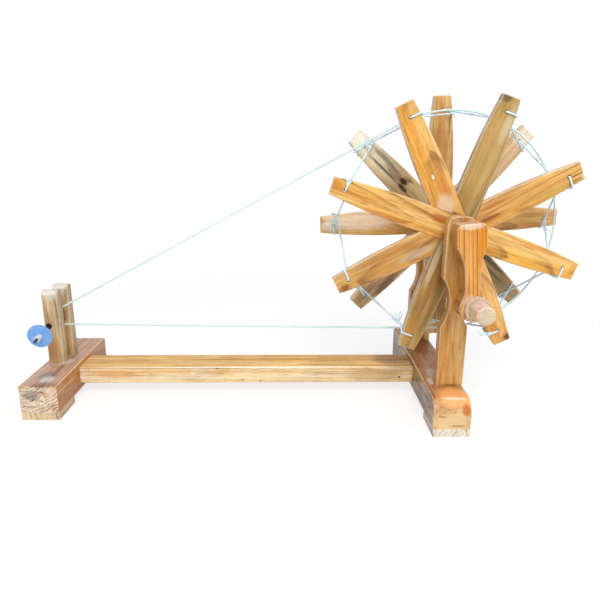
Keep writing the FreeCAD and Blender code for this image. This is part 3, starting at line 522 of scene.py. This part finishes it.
def threadFinish(name, pale, shade):
    material, f = newFinish(name)
    coords = f.node("ShaderNodeTexCoord", out=3)
    cloud = f.noise(coords, 160, 2)
    fuzz = f.noise(coords, 2600, 3, 0.7)
    colour = f.mix(cloud * 0.7 + fuzz * 0.3, pale, shade)
    bump = f.node("ShaderNodeBump", {}, {"Height": fuzz, "Strength": 0.4, "Distance": 0.0002})
    f.end(f.node("ShaderNodeBsdfPrincipled", {}, {
        "Base Color": colour, "Roughness": 0.75 + fuzz * 0.2, "Normal": bump,
        "Sheen Weight": 0.3, "Sheen Roughness": 0.5}))
    return material


laceFinish = threadFinish("lace thread", linear("E2F4FC"), linear("BCDDEE"))
bandFinish = threadFinish("band thread", linear("E2F5F2"), linear("C0E0DA"))
print("steel, plastics and thread done")


# cords: two plies twisted round a smooth line

def smoothCurve(name, points, closed, resolution):
    data = bpy.data.curves.new(name, "CURVE")
    data.dimensions, data.resolution_u = "3D", resolution
    spline = data.splines.new("NURBS")
    spline.points.add(len(points) - 1)
    for slot, point in zip(spline.points, points):
        slot.co = (*point, 1)
    spline.use_cyclic_u, spline.order_u, spline.use_endpoint_u = closed, 3, not closed
    return data


def meshOf(name, data):
    holder = bpy.data.objects.new(name, data)
    mesh = bpy.data.meshes.new_from_object(holder)
    mesh.name = name
    bpy.data.objects.remove(holder)
    return mesh


def threadPiece(name, data, finish, body):
    mesh = meshOf(name, data)
    for face in mesh.polygons:
        face.use_smooth = True
    mesh.materials.append(finish)
    piece = bpy.data.objects.new(name, mesh)
    scene.collection.objects.link(piece)
    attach(piece, body)
    return piece


def evenly(line, step, closed):
    if closed:
        line = line + [line[0]]
    reach = [0.0]
    for a, b in zip(line, line[1:]):
        reach.append(reach[-1] + (b - a).length)
    count = max(8, round(reach[-1] / step))
    spots, i = [], 0
    for k in range(count if closed else count + 1):
        want = reach[-1] * k / count
        while i < len(reach) - 2 and reach[i + 1] < want:
            i += 1
        span = reach[i + 1] - reach[i]
        spots.append(line[i].lerp(line[i + 1], (want - reach[i]) / span if span else 0))
    return spots, reach[-1]


def twisted(name, points, look, finish, body, closed=False):
    smooth = meshOf("line", smoothCurve("line", points, closed, 6))
    spots, length = evenly([v.co.copy() for v in smooth.vertices], look["step"], closed)
    count = len(spots)
    ahead = [(spots[(i + 1) % count] - spots[i - 1]).normalized() for i in range(count)]
    if not closed:
        ahead[0] = (spots[1] - spots[0]).normalized()
        ahead[-1] = (spots[-1] - spots[-2]).normalized()
    side = ahead[0].orthogonal().normalized()
    sides = [side]
    for a, b in zip(ahead, ahead[1:] + ahead[:1]):
        side = a.rotation_difference(b) @ side
        sides.append(side)
    slip = 0.0
    if closed:  # the turn by which the carried direction misses its start
        other = ahead[0].cross(sides[0])
        slip = math.atan2(sides[-1].dot(other), sides[-1].dot(sides[0]))
    turns = round(length / look["pitch"])
    data = bpy.data.curves.new(name, "CURVE")
    data.dimensions, data.bevel_depth, data.bevel_resolution = "3D", look["ply"], 1
    data.use_fill_caps = not closed
    for ply in range(2):
        spline = data.splines.new("POLY")
        spline.points.add(count - 1)
        for i, spot in enumerate(spots):
            angle = math.pi * ply + (2 * math.pi * turns - slip) * i / count
            across = Quaternion(ahead[i], angle) @ sides[i]
            spline.points[i].co = (*(spot + across * look["offset"]), 1)
        spline.use_cyclic_u = closed
    return threadPiece(name, data, finish, body)


lace = {"ring": 92.5, "drop": 3.3, "slip": 0.2, "lift": 0.82, "knotPlace": 0.22,
        "cornerNear": 1.3 * mm,
        "knot": {"size": 1.5 * mm, "turn": 0.7, "strand": 0.75 * mm},
        "twist": {"ply": 0.56 * mm, "offset": 0.28 * mm, "pitch": 4 * mm, "step": 0.62 * mm}}
planks = {"thick": 7, "half": 10.75, "straight": 30, "tipHalf": 6.9, "reach": 103.7, "edge": 520,
          "front": (-29.75, -36.75), "rear": (16.85, 23.85)}


def edgeAt(distance):  # half a plank's width this far from the axle
    start = Vector((planks["half"], planks["straight"]))
    end = Vector((planks["tipHalf"], planks["reach"]))
    chord = end - start
    rise = math.sqrt(planks["edge"] ** 2 - (chord.length / 2) ** 2)
    centre = (start + end) / 2 + Vector((-chord.y, chord.x)).normalized() * rise
    return centre.x + math.sqrt(planks["edge"] ** 2 - (distance - centre.y) ** 2)


def spokeSpot(angle, out, across, y):  # across is clockwise, seen from the crank side
    outward = Vector((math.sin(angle), 0, math.cos(angle)))
    clockwise = Vector((math.cos(angle), 0, -math.sin(angle)))
    return axleSpot + (outward * out + clockwise * across) * mm + Vector((0, y * mm, 0))


def hitch(angle, inner, outer):
    lift = math.copysign(lace["lift"], inner - outer)
    edge = edgeAt(lace["ring"]) + lace["lift"]
    ring = lace["ring"]
    return [spokeSpot(angle, ring - lace["drop"], edge, inner + lift),
            spokeSpot(angle, ring - lace["slip"], edge, outer - lift),
            spokeSpot(angle, ring, 0, outer - lift), spokeSpot(angle, ring, 0, inner + lift)]


def bent(points, near):  # each inner corner gets a point on both its runs, so it stays crisp
    route = [points[0]]
    for before, corner, after in zip(points, points[1:], points[2:]):
        route += [corner + (before - corner).normalized() * near, corner,
                  corner + (after - corner).normalized() * near]
    return route + [points[-1]]


corners = []
for turn in range(8):
    for side in ("rear", "front"):
        angle = math.radians(spokes[side + "Angle"] + 45 * (turn + 5))
        corners += hitch(angle, *planks[side])
knotSpot = corners[-1].lerp(corners[0], lace["knotPlace"])
rimThread = twisted("rim_thread", bent([knotSpot] + corners + [knotSpot], lace["cornerNear"]),
                    lace["twist"], laceFinish, "wheel")
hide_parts("rim_lacing")

band = {"wheelRing": 90.4, "wheelProud": 0.25, "whorlRing": 6.0, "planeY": -6.45,
        "wheelSteps": 18, "whorlSteps": 8,
        "knot": {"size": 0.9 * mm, "turn": 1.1, "strand": 0.55 * mm},
        "twist": {"ply": 0.62 * mm, "offset": 0.24 * mm, "pitch": 4.4 * mm, "step": 0.7 * mm}}
wheelMiddle = Vector((axleSpot.x, band["planeY"] * mm, axleSpot.z))
across, rise = wheelMiddle.x - whorlSpot.x, wheelMiddle.z - whorlSpot.z
climb = math.degrees(math.atan2(rise, across))
spread = math.degrees(math.asin((band["wheelRing"] - band["whorlRing"]) * mm
                                / math.hypot(across, rise)))


def ring(middle, radius, up, start, end, count):
    half = math.radians((end - start) / count / 2)
    points = []
    for i in range(count + 1):
        turn = math.radians(start + (end - start) * i / count)
        points.append(middle + (Vector((1, 0, 0)) * math.sin(turn) + up * math.cos(turn))
                      * (radius * mm / math.cos(half)))
    return points


leave, meet = -(climb + spread), 180 - (climb - spread)
whorlUp = Vector((0, -math.sin(spindleTilt), math.cos(spindleTilt)))
loop = ring(wheelMiddle, band["wheelRing"] + band["wheelProud"], Vector((0, 0, 1)), leave, meet,
            band["wheelSteps"])
loop += ring(whorlSpot, band["whorlRing"], whorlUp, meet, 360 + leave, band["whorlSteps"])
bandThread = twisted("band_thread", loop, band["twist"], bandFinish, "root",
                     closed=True)
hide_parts("drive_band")
print("cords done")


# knots and frayed ends

def cordPiece(name, points, radius, body, finish, closed=False):
    data = smoothCurve(name, points, closed, 5)
    data.bevel_depth, data.bevel_resolution, data.use_fill_caps = radius, 1, True
    return threadPiece(name, data, finish, body)


def tiedKnot(name, spot, look, body, finish):
    cordPiece(name, knotPoints(spot, look["size"], look["turn"]), look["strand"], body, finish,
              closed=True)


def knotPoints(spot, size, turn, count=18):  # a trefoil drawn tight
    points = []
    tilt = Matrix.Rotation(turn, 3, "X") @ Matrix.Rotation(turn * 1.7, 3, "Z")
    for i in range(count):
        t = 2 * math.pi * i / count
        raw = Vector((math.sin(t) + 2 * math.sin(2 * t), math.cos(t) - 2 * math.cos(2 * t),
                      -math.sin(3 * t)))
        points.append(spot + tilt @ raw * (size / 3))
    return points


tiedKnot("rim_knot", knotSpot, lace["knot"], "wheel", laceFinish)

looseEnds = {
    "strand": 0.42 * mm,
    # from the knot: steps in mm
    "tuft": (((-3, 0.6, 4), (-7.3, 1, 7.2)), ((0.4, -0.8, 5), (1.3, -0.4, 9.7)),
             ((2, 0.5, 3), (3.4, 1.4, 6.6)), ((-3.4, -0.7, 1.6), (-6.6, -1.4, 4.2)),
             ((-1.6, 1.2, 4.4), (-2.4, 2.6, 8.0))),
    # on the spokes: (set, turn, depth from its face, out and across for each point)
    "tails": (("front", 154, -0.9, (92.5, 0), (91.6, 5), (89.6, 10.6), (86, 14.8)),
              ("front", 154, -0.6, (91.8, 4), (90.2, 9.4), (89.4, 12), (90.4, 15.4)),
              ("front", 154, -1.1, (92.2, 6), (88.8, 11), (87.6, 15.6)),
              ("front", 289, -0.8, (92.3, 3), (91.4, 7.6), (88.2, 12.2)),
              ("front", 289, -0.7, (92.8, 4), (94.2, 7.4), (96.6, 9.6)),
              ("rear", 88, -0.6, (92.5, 0), (92.4, 6), (94.4, 9), (98, 12.4), (101, 13)),
              ("rear", 88, -0.5, (92.5, 0), (91.8, 7), (92.6, 10), (95.6, 14)),
              ("rear", 358, -0.6, (92.5, 0), (91.4, 5), (89, 9), (85.6, 11.6))),
    # second hitches: (set, turn, out on one edge, out on the other)
    "hitches": (("rear", 313, 90.6, 97.4), ("rear", 313, 94.6, 91), ("rear", 133, 90, 93.6),
                ("rear", 268, 91.4, 94)),
    "hitchStrand": 0.62 * mm, "hitchLift": 0.7, "hitchClear": 0.9,  # off the faces and the edges
}
for i, steps in enumerate(looseEnds["tuft"]):
    route = [knotSpot] + [knotSpot + Vector(step) * mm for step in steps]
    cordPiece(f"tuft_strand_{i + 1}", route, looseEnds["strand"], "wheel", laceFinish)
for i, (side, turn, depth, *route) in enumerate(looseEnds["tails"]):
    face = planks[side][1] if side == "front" else planks[side][0]
    cordPiece(f"loose_tail_{i + 1}",
              [spokeSpot(math.radians(turn), out, across, face + depth) for out, across in route],
              looseEnds["strand"], "wheel", laceFinish)
for i, (side, turn, low, high) in enumerate(looseEnds["hitches"]):
    faces = sorted(planks[side])
    route = []
    for face, way in ((faces[0], 1), (faces[1], -1)):
        y = face - way * looseEnds["hitchLift"]
        for across in (-way, 0, way):
            out = (low + high) / 2 + across * (high - low) / 2
            reach = across * (edgeAt(lace["ring"]) + looseEnds["hitchClear"])
            route.append(spokeSpot(math.radians(turn), out, reach, y))
    cordPiece(f"second_hitch_{i + 1}", route, looseEnds["hitchStrand"], "wheel", laceFinish,
              closed=True)

spliceSpot = (loop[-1] + loop[0]) / 2
tiedKnot("band_knot", spliceSpot, band["knot"], "root", bandFinish)
print("knots done")


# floor, light and camera

def studioWhite(finish):  # 1 where the camera, a reflection or clear plastic looks straight on
    rays = finish.tree.nodes.new("ShaderNodeLightPath")
    seen = Wire(finish, rays.outputs["Is Camera Ray"])
    seen = seen.maths("MAXIMUM", seen, Wire(finish, rays.outputs["Is Glossy Ray"]))
    return seen.maths("MAXIMUM", seen, Wire(finish, rays.outputs["Is Transmission Ray"]))


studio = {"worldLight": 0.6, "floorWhite": 0.74, "floorGlow": 1.06, "near": 0.42, "far": 0.95,
          "keyPower": 11.4, "fillPower": 2.0}
world = bpy.data.worlds.new("studio")
world.use_nodes = True
scene.world = world
f = Finish(world.node_tree)
sky = f.node("ShaderNodeBackground", {}, {
    "Color": (1, 1, 1, 1), "Strength": studioWhite(f) * (1 - studio["worldLight"])
    + studio["worldLight"]})
out = f.tree.nodes.new("ShaderNodeOutputWorld")
f.tree.links.new(sky.socket, out.inputs["Surface"])

floorMesh = bmesh.new()
bmesh.ops.create_grid(floorMesh, x_segments=1, y_segments=1, size=4)
floorData = bpy.data.meshes.new("floor")
floorMesh.to_mesh(floorData)
floorMesh.free()
floor = bpy.data.objects.new("floor", floorData)
scene.collection.objects.link(floor)
material, f = newFinish("pale floor")
coords = f.node("ShaderNodeTexCoord", out=3)
paint = f.node("ShaderNodeBsdfDiffuse", {}, {
    "Color": f.mix(f.noise(coords, 3, 2), (0.88, 0.88, 0.88, 1), (0.91, 0.91, 0.91, 1))})
glow = f.node("ShaderNodeEmission", {}, {"Color": (1, 1, 1, 1), "Strength": studio["floorGlow"]})
away = f.node("ShaderNodeVectorMath", {"operation": "LENGTH"}, {0: coords}, out=1)
away = f.ramp((away - studio["near"]) / (studio["far"] - studio["near"]), greys((0, 0), (1, 1)))
white = away * (1 - studio["floorWhite"]) + studio["floorWhite"]  # no horizon shows
f.end(f.node("ShaderNodeMixShader", {}, {0: studioWhite(f) * white, 1: paint, 2: glow}))
floorData.materials.append(material)


def softbox(name, place, aim, size, power):
    data = bpy.data.lights.new(name, "AREA")
    data.shape, data.size, data.energy = "DISK", size, power
    lamp = bpy.data.objects.new(name, data)
    lamp.location = place
    lamp.rotation_euler = (Vector(place) - Vector(aim)).to_track_quat("Z", "Y").to_euler()
    scene.collection.objects.link(lamp)


softbox("key", (0.12, -0.95, 1.1), (0, 0, 0.1), 0.6, studio["keyPower"])
softbox("fill", (0.95, -0.55, 0.7), (0, 0, 0.1), 0.9, studio["fillPower"])

viewPoint = {"place": (-0.00354, -0.45875, 0.214), "pitch": 15.37, "yaw": 0.7606,
             "roll": 0.133, "lens": 32.574}
pitch, yaw, roll = (math.radians(viewPoint[k]) for k in ("pitch", "yaw", "roll"))
ahead = Vector((math.sin(yaw) * math.cos(pitch), math.cos(yaw) * math.cos(pitch),
                -math.sin(pitch)))
right = Vector((math.cos(yaw), -math.sin(yaw), 0))
above = right.cross(ahead)
right, above = (right * math.cos(roll) + above * math.sin(roll),
                above * math.cos(roll) - right * math.sin(roll))
data = bpy.data.cameras.new("camera")
data.sensor_width, data.lens, data.clip_start = 36, viewPoint["lens"], 0.01
camera = bpy.data.objects.new("camera", data)
camera.matrix_world = Matrix.Translation(viewPoint["place"]) @ Matrix(
    (right, above, -ahead)).transposed().to_4x4()
scene.collection.objects.link(camera)
scene.camera = camera
print("stage done")
